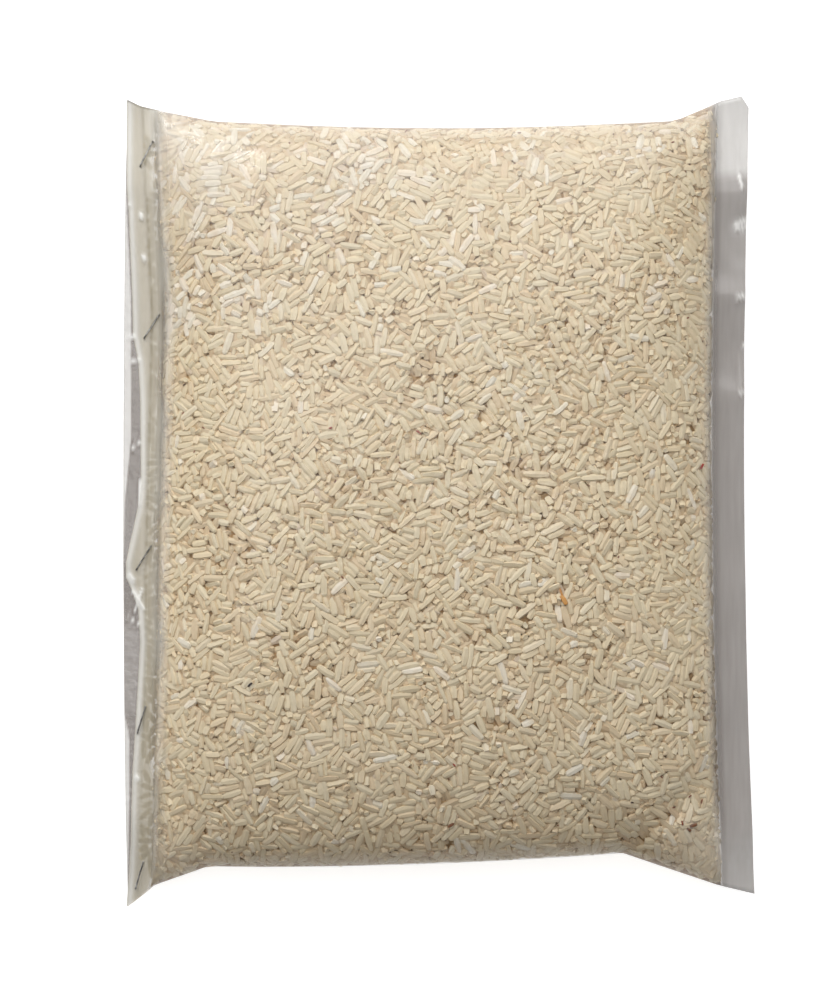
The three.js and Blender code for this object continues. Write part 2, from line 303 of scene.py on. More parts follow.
def hem_bulge(x, y):
    """1 over the loose grains that lie in the hem and at its edge, and 0 elsewhere."""
    hem = hem_line(y)
    return ease(x, hem - HEM_GRAINS_WIDTH - 1, hem - HEM_GRAINS_WIDTH + 1) * ease(-x, -hem - 6, -hem - 1)


def top_height(x, y):
    u, v = place_on_bag(x, y)
    fullness = oval(u, END_OVAL) * oval(v, SIDE_OVAL)
    skin = middle_height(x, y) + SEAL_GAP / 2 + HEM_BULGE * hem_bulge(x, y)
    return skin + (CROWN_HEIGHT - skin) * fullness - hollow_depth(x, y) * np.minimum(1, 2 * fullness)


def base_height(x, y):
    u, v = place_on_bag(x, y)
    spread = np.minimum(1, BASE_REACH * oval(u, BASE_OVAL) * oval(v, BASE_OVAL))
    return (middle_height(x, y) - SEAL_GAP / 2) * (1 - spread)


def column_x(s, y):
    """X at Y of a line across the bag: s is 0 to 1 on the hem, 1 to 2 over the rice, 2 to 3 on the seal."""
    lines = np.stack([left_edge(y), hem_line(y), seal_line(y), right_edge(y)])
    k = np.minimum(np.floor(s).astype(int), 2)
    t = s - k
    rows = np.arange(lines.shape[1])
    return lines[k, rows] * (1 - t) + lines[k + 1, rows] * t


def even_steps(places, heights, count):
    """Places that split a curve into stretches of equal length, and its whole length."""
    length = np.concatenate([[0], np.cumsum(np.hypot(np.diff(places), np.diff(heights)))])
    return np.interp(np.linspace(0, length[-1], count + 1), length, places), length[-1]


def arch_steps(pitch):
    """Columns over the rice at equal steps along the arched film, as s from 1 to 2."""
    half = (seal_line(0) - hem_line(0)) / 2
    u = -np.cos(np.linspace(0, np.pi, SECTION_SAMPLES))
    rise = (CROWN_HEIGHT - SEAM_HEIGHT) * oval(u, END_OVAL)
    length = even_steps(u * half, rise, 1)[1]
    places = even_steps(u * half, rise, round(length / pitch))[0]
    return 1.5 + places / half / 2


def section_grid(columns, height, count):
    """Points of a sheet over the bag, one row of points for each column, evenly spaced across it."""
    turn = (1 - np.cos(np.linspace(0, np.pi, SECTION_SAMPLES))) / 2
    grid = []
    for s in columns:
        ends = column_x(np.array([s, s]), np.array([-HALF_FLAT_WIDTH, HALF_FLAT_WIDTH], float))
        low, high = side_line(BOTTOM_SIDE, ends[0]), side_line(TOP_SIDE, ends[1])
        y = low + (high - low) * turn
        y = even_steps(y, height(column_x(np.full(len(y), s), y), y), count)[0]
        x = column_x(np.full(len(y), s), y)
        grid.append(np.stack([x, y, height(x, y)], 1))
    return np.array(grid)


def ring_grid(columns, rows_top, rows_base):
    """The closed film tube: from the low side over the top to the high side, and back underneath."""
    top = section_grid(columns, top_height, rows_top)
    base = section_grid(columns, base_height, rows_base)
    return np.concatenate([top, base[:, ::-1]], 1)


def grid_normals(ring):
    """Outward normals of a tube of points that closes along its second axis."""
    along = np.gradient(ring, axis=0)
    round_it = np.roll(ring, -1, 1) - np.roll(ring, 1, 1)
    normal = np.cross(along, round_it)
    return normal / np.maximum(np.linalg.norm(normal, axis=2, keepdims=True), 1e-9)


lowest = side_line(BOTTOM_SIDE, left_edge(-HALF_FLAT_WIDTH))
shift = np.array([cad_low.x / MM - LEFT_EDGE, cad_low.y / MM - lowest, 0])


def new_object(name, points, faces):
    """A mesh object at the origin from points in millimetres of the bag's drawing."""
    mesh = bpy.data.meshes.new(name)
    mesh.from_pydata(((np.asarray(points) + shift) * MM).tolist(), [], faces)
    mesh.validate()
    mesh.shade_smooth()
    made = bpy.data.objects.new(name, mesh)
    bpy.context.scene.collection.objects.link(made)
    return made


def tube_faces(columns, rows):
    """Quads of a tube whose rings close on themselves, and a strip of quads across each flat end."""
    c, r = np.meshgrid(np.arange(columns - 1), np.arange(rows), indexing="ij")
    c, r = c.ravel(), r.ravel()
    after = (r + 1) % rows
    quads = [c * rows + r, (c + 1) * rows + r, (c + 1) * rows + after, c * rows + after]
    return np.stack(quads, 1).tolist()


def settle_grains(lengths, widths, size, steps=150):
    """Places and turns of grains that lie flat side by side in a sheet. The sheet joins up along Y.

    Each grain is a row of discs. Overlapping discs push their grains apart and turn them,
    while all grains grow to their full size.
    """
    discs = 4
    count = len(lengths)
    place = rng.random((count, 2)) * size
    turn = rng.random(count) * np.pi
    lever_unit = np.linspace(-0.5, 0.5, discs)
    owner = np.repeat(np.arange(count), discs)
    pairs = None
    for step in range(steps):
        grown = min(1.0, 0.55 + 0.45 * step / (0.6 * steps))
        reach = (lengths - widths)[:, None] * lever_unit * grown
        direction = np.stack([np.cos(turn), np.sin(turn)], 1)
        arms = reach[:, :, None] * direction[:, None, :]
        points = (place[:, None, :] + arms).reshape(-1, 2)
        radius = np.repeat(widths / 2 * grown, discs)
        if step % 5 == 0:
            pairs = near_pairs(points, owner, widths.max() * grown + 0.9, size)
        i, j = pairs
        apart = points[j] - points[i]
        apart[:, 1] -= size[1] * np.round(apart[:, 1] / size[1])
        distance = np.maximum(np.linalg.norm(apart, axis=1), 1e-6)
        overlap = np.maximum(0, radius[i] + radius[j] - distance)
        push = apart * (0.5 * overlap / distance)[:, None]
        wall = np.maximum(0, radius - points[:, 0]) - np.maximum(0, points[:, 0] + radius - size[0])
        force = np.stack([
            np.bincount(j, push[:, k], len(points)) - np.bincount(i, push[:, k], len(points))
            for k in (0, 1)
        ], 1)
        force[:, 0] += wall
        touching = np.bincount(i, overlap > 0, len(points)) + np.bincount(j, overlap > 0, len(points))
        force = force.reshape(count, discs, 2)
        contacts = np.maximum(1, touching.reshape(count, discs).sum(1) / 2)
        place += force.sum(1) / contacts[:, None] * 1.1
        place[:, 1] %= size[1]
        torque = (arms[:, :, 0] * force[:, :, 1] - arms[:, :, 1] * force[:, :, 0]).sum(1)
        inertia = (arms ** 2).sum((1, 2)) / discs + widths ** 2 / 8
        turn += np.clip(torque / inertia / contacts * 0.9, -0.25, 0.25)
    return place, turn


def near_pairs(points, owner, cutoff, size):
    """Index pairs of discs of different grains that are closer than cutoff."""
    cells = np.maximum(1, (size / cutoff).astype(int))
    cell = np.clip((points / size * cells).astype(int), 0, cells - 1)
    cell[:, 1] = (np.floor(points[:, 1] / size[1] * cells[1]).astype(int)) % cells[1]
    key = cell[:, 0] * cells[1] + cell[:, 1]
    order = np.argsort(key, kind="stable")
    counts = np.bincount(key, minlength=cells[0] * cells[1])
    starts = np.concatenate([[0], np.cumsum(counts)[:-1]])
    rank = np.arange(len(points)) - starts[key[order]]
    table = np.full((len(counts) + 1, counts.max()), -1)
    table[key[order], rank] = order
    found = []
    for dx, dy in ((0, 0), (1, 0), (0, 1), (1, 1), (1, -1)):
        x = cell[:, 0] + dx
        near = np.where(x < cells[0], x * cells[1] + (cell[:, 1] + dy) % cells[1], len(counts))
        other = table[near]
        i = np.repeat(np.arange(len(points)), other.shape[1])
        j = other.ravel()
        keep = j >= 0
        if (dx, dy) == (0, 0):
            keep &= j > i
        i, j = i[keep], j[keep]
        keep = owner[i] != owner[j]
        i, j = i[keep], j[keep]
        apart = points[j] - points[i]
        apart[:, 1] -= size[1] * np.round(apart[:, 1] / size[1])
        keep = (apart ** 2).sum(1) < cutoff ** 2
        found.append(np.stack([i[keep], j[keep]]))
    return np.concatenate(found, 1)


def on_grid(grid, place, size):
    """Values of a grid over the sheet at places in it, by bilinear interpolation."""
    a = np.clip(place[:, 0] / size[0], 0, 1) * (grid.shape[0] - 1)
    b = (place[:, 1] / size[1] % 1) * grid.shape[1]
    i, j = np.minimum(a.astype(int), grid.shape[0] - 2), b.astype(int) % grid.shape[1]
    s, t = (a - i)[:, None], (b - np.floor(b))[:, None]
    k = (j + 1) % grid.shape[1]
    here = grid[i, j] * (1 - s) + grid[i + 1, j] * s
    beside = grid[i, k] * (1 - s) + grid[i + 1, k] * s
    return here * (1 - t) + beside * t


def unit(vectors):
    return vectors / np.maximum(np.linalg.norm(vectors, axis=-1, keepdims=True), 1e-9)


def quaternions(x_axis, y_axis, z_axis):
    """Rotations, as w x y z, that turn X, Y and Z to the given axes."""
    m = np.stack([x_axis, y_axis, z_axis], 2)
    xx, yy, zz = m[:, 0, 0], m[:, 1, 1], m[:, 2, 2]
    trace = xx + yy + zz
    wx, wy, wz = m[:, 2, 1] - m[:, 1, 2], m[:, 0, 2] - m[:, 2, 0], m[:, 1, 0] - m[:, 0, 1]
    xy, xz, yz = m[:, 0, 1] + m[:, 1, 0], m[:, 0, 2] + m[:, 2, 0], m[:, 1, 2] + m[:, 2, 1]
    options = np.stack([
        np.stack([1 + trace, wx, wy, wz], 1),
        np.stack([wx, 1 + 2 * xx - trace, xy, xz], 1),
        np.stack([wy, xy, 1 + 2 * yy - trace, yz], 1),
        np.stack([wz, xz, yz, 1 + 2 * zz - trace], 1),
    ], 1)
    best = np.argmax([options[:, k, k] for k in range(4)], 0)
    return unit(options[np.arange(len(m)), best])


def beyond_film(skin, points):
    """How far points lie outside the film, below 0 inside it, and the film's outward direction there."""
    beyond, outward = np.empty(len(points)), np.empty(points.shape)
    for k, point in enumerate(points.tolist()):
        nearest, normal = skin.find_nearest(point)[:2]
        beyond[k] = (Vector(point) - nearest).dot(normal)
        outward[k] = normal
    return beyond, outward


class Bed:
    """One layer of grains along the film: their middles, rotations, sizes and tones."""

    def __init__(self, skin, ring, size, place, turn, lengths, widths, depth):
        normal = grid_normals(ring)
        x, y = ring[:, :, 0], ring[:, :, 1]
        room = (top_height(x, y) - base_height(x, y))[:, :, None]
        reach = (lengths - widths)[:, None] / 2 * np.stack([np.cos(turn), np.sin(turn)], 1)
        half = widths[:, None] / 2 * np.stack([-np.sin(turn), np.cos(turn)], 1)
        around = [place + reach * 1.15, place - reach * 1.15, place + half, place - half]
        self.room = np.min([on_grid(room, at, size)[:, 0] for at in around], 0)
        thickness = np.minimum(GRAIN[2] * rng.uniform(0.88, 1.08, len(lengths)), 0.8 * self.room)
        dips = rng.random(len(lengths)) < 0.25
        tilt = np.where(dips, rng.uniform(0.4, 1.5, len(lengths)), rng.uniform(0, 0.35, len(lengths)))
        ends = []
        for side, extra in ((-1, 0), (1, 1)):
            at = place + side * reach
            inward = FILM_CLEARANCE + thickness / 2 + depth + extra * tilt
            inward = np.minimum(inward, on_grid(room, at, size)[:, 0] * 0.45)
            ends.append(on_grid(ring, at, size) - on_grid(normal, at, size) * inward[:, None])
        self.on_top = place[:, 1] / size[1] < 0.5
        self.middle = (ends[0] + ends[1]) / 2
        axis = unit(ends[1] - ends[0])
        side = unit(np.cross(unit(on_grid(normal, place, size)), axis))
        roll = rng.normal(0, 0.2, len(lengths))[:, None]
        across = side * np.cos(roll) + np.cross(axis, side) * np.sin(roll)
        up = np.cross(axis, across)
        self.turn = quaternions(axis, across, up)
        self.size = np.stack([lengths, widths, thickness], 1) / GRAIN * SNUG
        # A few grains are chalky white at random; near the listed glare spots many more are white, and that
        # white is painted glare.
        pressed = rng.random(len(lengths)) < 0.03 + painted_glare_share(*self.middle[:, :2].T)
        self.tone = np.where(pressed, rng.uniform(0.93, 1.0, len(lengths)), 0.9 * rng.random(len(lengths)))
        half = self.size * GRAIN / 2
        tips = [
            axis * half[:, :1] * along + across * half[:, 1:2] * aside + up * half[:, 2:] * above
            for along, aside, above in GRAIN_TIPS
        ]
        for _ in range(PUSHES + 1):
            # Each grain is pushed in from the film where one of its tips stands out most.
            push = np.zeros(self.middle.shape)
            self.out = np.full(len(lengths), -FILM_CLEARANCE)
            for tip in tips:
                beyond, outward = beyond_film(skin, self.middle + tip)
                more = beyond > self.out
                push[more] = outward[more] * (beyond[more] + FILM_CLEARANCE)[:, None]
                self.out = np.maximum(self.out, beyond)
            self.middle -= push
        self.middle += push


def grain_mesh(name, sides, stations, bend=0.0, blunt=False):
    """One milled grain along X, with rounded ends and a small notch where its germ was."""
    length, width, thickness = GRAIN
    points = []
    for t in stations:
        swell = (1 - abs(t) ** 6) ** (1 / 2.5)
        if t > 0:
            swell *= 1 - 0.16 * t * t
        if blunt and t < 0:
            swell = max(swell, 0.82)
        notch = 0.2 * lump(t + 0.86, 0.2)
        for k in range(sides):
            angle = 2 * math.pi * (k + 0.5) / sides
            full = 1.05 - 0.09 * math.cos(4 * angle)
            y = width / 2 * swell * full * math.cos(angle) - notch * width / 2 * (math.cos(angle) > 0)
            z = thickness / 2 * swell * full * math.sin(angle)
            points.append((t * length / 2, y + bend * length * t * t, z))
    ends = len(points)
    points += [(-length / 2 * (0.9 if blunt else 1), bend * length, 0), (length / 2, bend * length, 0)]
    faces = []
    for i in range(len(stations) - 1):
        for k in range(sides):
            a, b = i * sides + k, i * sides + (k + 1) % sides
            faces.append((a, a + sides, b + sides, b))
    last = (len(stations) - 1) * sides
    for k in range(sides):
        after = (k + 1) % sides
        faces.append((ends, k, after))
        faces.append((ends + 1, last + after, last + k))
    mesh = bpy.data.meshes.new(name)
    mesh.from_pydata([tuple(c * MM for c in p) for p in points], [], [f[::-1] for f in faces])
    mesh.shade_flat()
    return bpy.data.objects.new(name, mesh)


def scatter_tree():
    """Sets one grain on each point, turned, sized and toned by the point's own values."""
    tree = bpy.data.node_groups.new("Grains on points", "GeometryNodeTree")
    face = tree.interface
    face.new_socket("Points", in_out="INPUT", socket_type="NodeSocketGeometry")
    face.new_socket("Grain", in_out="INPUT", socket_type="NodeSocketObject")
    face.new_socket("Evenness", in_out="INPUT", socket_type="NodeSocketFloat").default_value = 1.0
    face.new_socket("Finish", in_out="INPUT", socket_type="NodeSocketMaterial")
    face.new_socket("Grains", in_out="OUTPUT", socket_type="NodeSocketGeometry")
    given = add_node(tree, "NodeGroupInput").outputs
    grain = add_node(tree, "GeometryNodeObjectInfo", {"Object": given["Grain"]})
    turn = add_node(tree, "GeometryNodeInputNamedAttribute", {"Name": "turn"}, data_type="QUATERNION")
    size = add_node(tree, "GeometryNodeInputNamedAttribute", {"Name": "size"}, data_type="FLOAT_VECTOR")
    even = add_node(tree, "ShaderNodeVectorMath", {
        0: size.outputs["Attribute"], "Scale": given["Evenness"],
    }, operation="SCALE")
    placed = add_node(tree, "GeometryNodeInstanceOnPoints", {
        "Points": given["Points"],
        "Instance": grain.outputs["Geometry"],
        "Rotation": turn.outputs["Attribute"],
        "Scale": even.outputs["Vector"],
    })
    real = add_node(tree, "GeometryNodeRealizeInstances", {"Geometry": placed.outputs["Instances"]})
    finished = add_node(tree, "GeometryNodeSetMaterial",
                        {"Geometry": real.outputs["Geometry"], "Material": given["Finish"]})
    add_node(tree, "NodeGroupOutput", {"Grains": finished.outputs["Geometry"]})
    return tree


def scatter(tree, name, grain, middle, turn, size, tone, material):
    """A piece of many grains, as one plain mesh."""
    points = new_object(name + "_points", middle, [])
    for label, kind, field, values in (
        ("turn", "QUATERNION", "value", turn),
        ("size", "FLOAT_VECTOR", "vector", size),
        ("tone", "FLOAT", "value", tone),
    ):
        layer = points.data.attributes.new(label, kind, "POINT")
        layer.data.foreach_set(field, np.ravel(values).astype(np.float32))
    modifier = points.modifiers.new("Grains", "NODES")
    modifier.node_group = tree
    sockets = {item.name: item.identifier for item in tree.interface.items_tree if item.in_out == "INPUT"}
    modifier[sockets["Grain"]] = grain
    modifier[sockets["Evenness"]] = 1.0
    modifier[sockets["Finish"]] = material
    bpy.context.view_layer.update()
    evaluated = points.evaluated_get(bpy.context.evaluated_depsgraph_get())
    mesh = bpy.data.meshes.new_from_object(evaluated)
    mesh.name = name
    for label in ("turn", "size"):
        if label in mesh.attributes:
            mesh.attributes.remove(mesh.attributes[label])
    points.modifiers.remove(modifier)
    bpy.data.objects.remove(points)
    made = bpy.data.objects.new(name, mesh)
    bpy.context.scene.collection.objects.link(made)
    return made


def new_material(name):
    material = bpy.data.materials.new(name)
    material.use_nodes = True
    material.node_tree.nodes.clear()
    return material, material.node_tree


def add_ramp(tree, factor, *stops):
    """A colour ramp through stops of (position, hex colour)."""
    ramp = add_node(tree, "ShaderNodeValToRGB", {"Fac": factor})
    elements = ramp.color_ramp.elements
    for element, (position, colour) in zip(elements, (stops[0], stops[-1])):
        element.position = position
        element.color = linear(colour)
    for position, colour in stops[1:-1]:
        elements.new(position).color = linear(colour)
    return ramp.outputs["Color"]


def polished_long_grain_rice(name, browning_painted_for_shade):
    """Polished long-grain rice: dry and satin, grey-cream to pinkish tan, a few grains chalky white.

    Light that reaches the deeper layers has passed through grains, which browns it; a browner base colour
    paints in that shade for the layer behind.
    """
    material, tree = new_material(name)
    tone = add_node(tree, "ShaderNodeAttribute", attribute_name="tone").outputs["Fac"]
    value = add_ramp(
        tree, tone, (0.0, "#dec9a5"), (0.32, "#e5d3af"), (0.84, "#eadbbb"), (0.9, "#f1e9d8"), (1.0, "#fbf6ea")
    )
    spread = add_node(tree, "ShaderNodeMath", {0: tone, 1: 7.3}, operation="MULTIPLY")
    other = add_node(tree, "ShaderNodeMath", {0: spread.outputs[0]}, operation="FRACT")
    hue = add_ramp(tree, other.outputs[0], (0.0, "#e9d2b1"), (0.4, "#e9d9b8"), (1.0, "#e7dbc0"))
    where = add_node(tree, "ShaderNodeTexCoord").outputs["Object"]
    cloud = add_node(tree, "ShaderNodeTexNoise", {"Vector": where, "Scale": 1 / (2.5 * MM)})
    mixed = add_node(tree, "ShaderNodeMix", {
        "Factor": cloud.outputs["Fac"], "A": value, "B": hue,
    }, data_type="RGBA")
    deep = add_node(tree, "ShaderNodeMix", {
        "Factor": browning_painted_for_shade, "A": mixed.outputs["Result"], "B": linear("#b98c58"),
    }, data_type="RGBA")
    surface = add_node(tree, "ShaderNodeBsdfPrincipled", {
        "Base Color": deep.outputs["Result"],
        "Roughness": 0.55,
        "IOR": 1.45,
    })
    add_node(tree, "ShaderNodeOutputMaterial", {"Surface": surface.outputs["BSDF"]})
    return material


def packed_rice_painted_shade(name):
    """The rice behind the first grains, as painted shade: darker and browner than the grains, darkest at the
    edges of its cells.
    """
    material, tree = new_material(name)
    where = add_node(tree, "ShaderNodeTexCoord").outputs["Object"]
    grain = add_node(tree, "ShaderNodeTexVoronoi", {"Vector": where, "Scale": 1 / (2.4 * MM)})
    colour = add_ramp(tree, grain.outputs["Distance"], (0.0, "#c9aa7c"), (1.0, "#94703f"))
    bump = add_node(tree, "ShaderNodeBump", {
        "Height": grain.outputs["Distance"], "Distance": 0.8 * MM,
    }, invert=True)
    surface = add_node(tree, "ShaderNodeBsdfPrincipled", {
        "Base Color": colour,
        "Roughness": 0.6,
        "Normal": bump.outputs["Normal"],
    })
    add_node(tree, "ShaderNodeOutputMaterial", {"Surface": surface.outputs["BSDF"]})
    return material


def bran_and_husk(name):
    """Bits the mill left in the rice: dark seeds, brown bran, red bran and straw-coloured husk."""
    material, tree = new_material(name)
    tone = add_node(tree, "ShaderNodeAttribute", attribute_name="tone").outputs["Fac"]
    kinds = add_ramp(tree, tone, (0.0, "#2a1d14"), (0.3, "#7d5636"), (0.6, "#a8321c"), (1.0, "#dcae70"))
    where = add_node(tree, "ShaderNodeTexCoord").outputs["Object"]
    streak = add_node(tree, "ShaderNodeTexNoise", {"Vector": where, "Scale": 1 / (0.6 * MM)})
    mixed = add_node(tree, "ShaderNodeMix", {
        "Factor": streak.outputs["Fac"], "A": kinds, "B": linear("#8a6a48"),
    }, data_type="RGBA", blend_type="SOFT_LIGHT")
    surface = add_node(tree, "ShaderNodeBsdfPrincipled", {
        "Base Color": mixed.outputs["Result"],
        "Roughness": 0.6,
    })
    add_node(tree, "ShaderNodeOutputMaterial", {"Surface": surface.outputs["BSDF"]})
    return material


def clear_polyethylene_film(name, deep_tint, light_tint, relief, streaking):
    """LDPE film: clear and glossy where it is single, and milky where it lies in layers.

    milk says how much the film hides, shade how light its milk is, and crimp where the heat
    seal and the folds wrinkle it. How light the milk is carries painted light and shade: dark grey
    on the seal and the hem for the shade seen through them, and painted highlights and painted
    shade over the rice. Along the seal the wrinkle noise also streaks it lighter and darker, painted
    shading of its fine wrinkles. Elsewhere the grains behind it press their relief into it.
    """
    material, tree = new_material(name)
    milk = add_node(tree, "ShaderNodeAttribute", attribute_name="milk").outputs["Fac"]
    shade = add_node(tree, "ShaderNodeAttribute", attribute_name="shade").outputs["Fac"]
    crimp = add_node(tree, "ShaderNodeAttribute", attribute_name="crimp").outputs["Fac"]
    where = add_node(tree, "ShaderNodeTexCoord").outputs["Object"]
    pressed = add_node(tree, "ShaderNodeTexNoise", {"Vector": where, "Scale": 1 / (2.6 * MM), "Detail": 1.0})
    drawn = add_node(tree, "ShaderNodeMapping", {"Vector": where, "Scale": (1.0, 0.1, 1.0)})
    wrinkles = add_node(tree, "ShaderNodeTexNoise", {
        "Vector": drawn.outputs["Vector"], "Scale": 1 / (1.6 * MM), "Detail": 1.0,
    })
    low = add_node(tree, "ShaderNodeMath", {0: wrinkles.outputs["Fac"], 1: 0.2}, operation="MULTIPLY")
    height = add_node(tree, "ShaderNodeMix", {
        "Factor": crimp, "A": pressed.outputs["Fac"], "B": low.outputs[0],
    }, data_type="FLOAT")
    bump = add_node(tree, "ShaderNodeBump", {"Height": height.outputs["Result"], "Distance": relief * MM})
    streak = add_node(tree, "ShaderNodeMath", {0: wrinkles.outputs["Fac"], 1: 0.5}, operation="SUBTRACT")
    streaks = add_node(tree, "ShaderNodeMath", {0: streak.outputs[0], 1: crimp}, operation="MULTIPLY")
    streaked = add_node(tree, "ShaderNodeMath", {
        0: streaks.outputs[0], 1: streaking, 2: shade,
    }, operation="MULTIPLY_ADD")
    colour = add_node(tree, "ShaderNodeMix", {
        "Factor": streaked.outputs[0], "A": linear(deep_tint), "B": linear(light_tint),
    }, data_type="RGBA")
    cloudy = add_node(tree, "ShaderNodeBsdfPrincipled", {
        "Base Color": colour.outputs["Result"],
        "Roughness": 0.4,
        "IOR": 1.5,
        "Normal": bump.outputs["Normal"],
    })
    clear = add_node(tree, "ShaderNodeBsdfTransparent")
    veil = add_node(tree, "ShaderNodeMixShader", {0: milk, 1: clear.outputs[0], 2: cloudy.outputs[0]})
    gloss = add_node(tree, "ShaderNodeBsdfGlossy", {"Roughness": 0.14, "Normal": bump.outputs["Normal"]})
    facing = add_node(tree, "ShaderNodeLayerWeight", {"Blend": 0.5, "Normal": bump.outputs["Normal"]})
    edge = add_node(tree, "ShaderNodeMath", {0: facing.outputs["Facing"], 1: 5.0}, operation="POWER")
    mirror = add_node(tree, "ShaderNodeMath", {
        0: edge.outputs[0], 1: 0.4, 2: 0.032,
    }, operation="MULTIPLY_ADD")
    film = add_node(tree, "ShaderNodeMixShader", {
        0: mirror.outputs[0], 1: veil.outputs[0], 2: gloss.outputs[0],
    })
    add_node(tree, "ShaderNodeOutputMaterial", {"Surface": film.outputs[0]})
    return material


def galvanised_steel_wire(name):
    """Galvanised staple wire: grey, drawn smooth, with dull zinc patches."""
    material, tree = new_material(name)
    where = add_node(tree, "ShaderNodeTexCoord").outputs["Object"]
    zinc = add_node(tree, "ShaderNodeTexNoise", {"Vector": where, "Scale": 1 / (1.5 * MM)})
    surface = add_node(tree, "ShaderNodeBsdfPrincipled", {
        "Base Color": add_ramp(tree, zinc.outputs["Fac"], (0.3, "#5f5e5c"), (0.7, "#aeadaa")),
        "Metallic": 1.0,
        "Roughness": 0.32,
    })
    add_node(tree, "ShaderNodeOutputMaterial", {"Surface": surface.outputs["BSDF"]})
    return material


def white_table(name):
    """The matt white table that the bag lies on, as even as a light box."""
    material, tree = new_material(name)
    surface = add_node(tree, "ShaderNodeBsdfPrincipled", {
        "Base Color": linear("#c8c8c8"),
        "Roughness": 0.9,
        "Emission Color": (1, 1, 1, 1),
        "Emission Strength": TABLE_GLOW,
    })
    add_node(tree, "ShaderNodeOutputMaterial", {"Surface": surface.outputs["BSDF"]})
    return material


def place_piece(piece):
    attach(piece, BODY)
    return piece


def set_values(piece, **layers):
    """Named values on a piece's points, for its material to read."""
    for name, values in layers.items():
        layer = piece.data.attributes.new(name, "FLOAT", "POINT")
        layer.data.foreach_set("value", np.clip(values, 0, 1).astype(np.float32))


def glints(x, y):
    """1 on the sharp wrinkles of the film, which are raised and painted lighter as glints, and 0 elsewhere.
    """
    ridge_and_painted_glint = 0
    for start, end, width in WRINKLES:
        ridge_and_painted_glint = np.maximum(ridge_and_painted_glint, lump(off_line(x, y, start, end), width))
    return ridge_and_painted_glint


def painted_glare_share(x, y):
    """Share of the grains that are painted white as glare near the listed spots."""
    return sum(share * lump(np.hypot(x - x0, y - y0), radius) for x0, y0, radius, share in PAINTED_GLARE_SPOTS)


